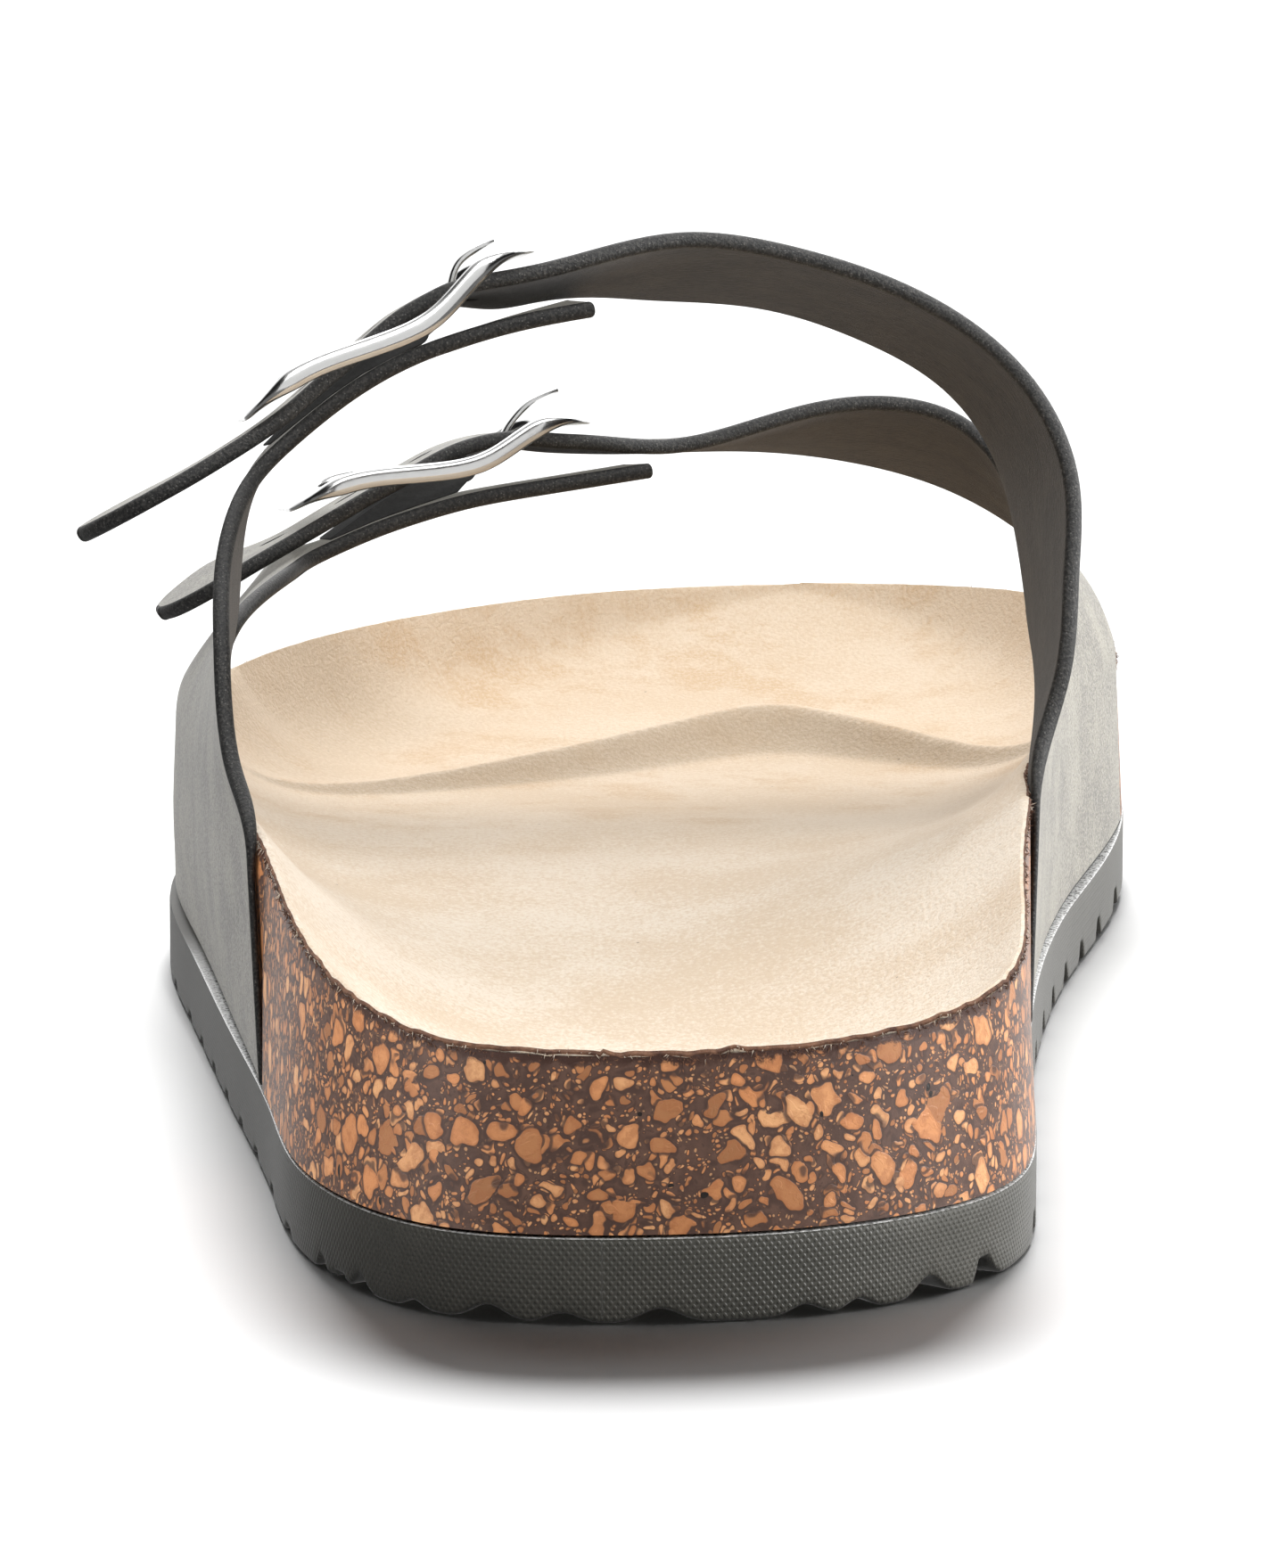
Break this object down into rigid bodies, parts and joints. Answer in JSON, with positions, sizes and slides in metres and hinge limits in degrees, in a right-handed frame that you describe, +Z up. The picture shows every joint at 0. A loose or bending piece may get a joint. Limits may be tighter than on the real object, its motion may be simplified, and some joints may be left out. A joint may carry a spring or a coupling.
{
  "type": "slide sandal",
  "caption": "Left slide sandal with a contoured cork footbed, suede insole, rubber outsole and buckled leather straps over the instep and toes.",
  "frame": {"origin": "on the floor under the middle of the sandal's box", "axes": "+X to the inner (medial) side of the foot, +Y from heel to toe, +Z up"},
  "size_m": [0.1136, 0.2804, 0.0868],
  "materials": {
    "outsole rubber": "matt dark grey-green rubber with a fine knurl on its side",
    "cork": "pressed cork granules, sealed and faintly glossy",
    "suede": "beige suede with a short nap",
    "strap": "grey-green nubuck with a dark felt lining",
    "tab": "matt black leather",
    "polished steel": "polished and plated"
  },
  "bodies": {
    "root": {"outsole": "outsole rubber", "cork_footbed": "cork", "insole": "suede", "upper_lateral_straps": "strap", "upper_medial_straps": "strap", "buckle_frame_rear": "polished steel", "buckle_prong_rear": "polished steel", "buckle_tab_rear": "tab", "buckle_frame_front": "polished steel", "buckle_prong_front": "polished steel", "buckle_tab_front": "tab"}
  },
  "joints": []
}
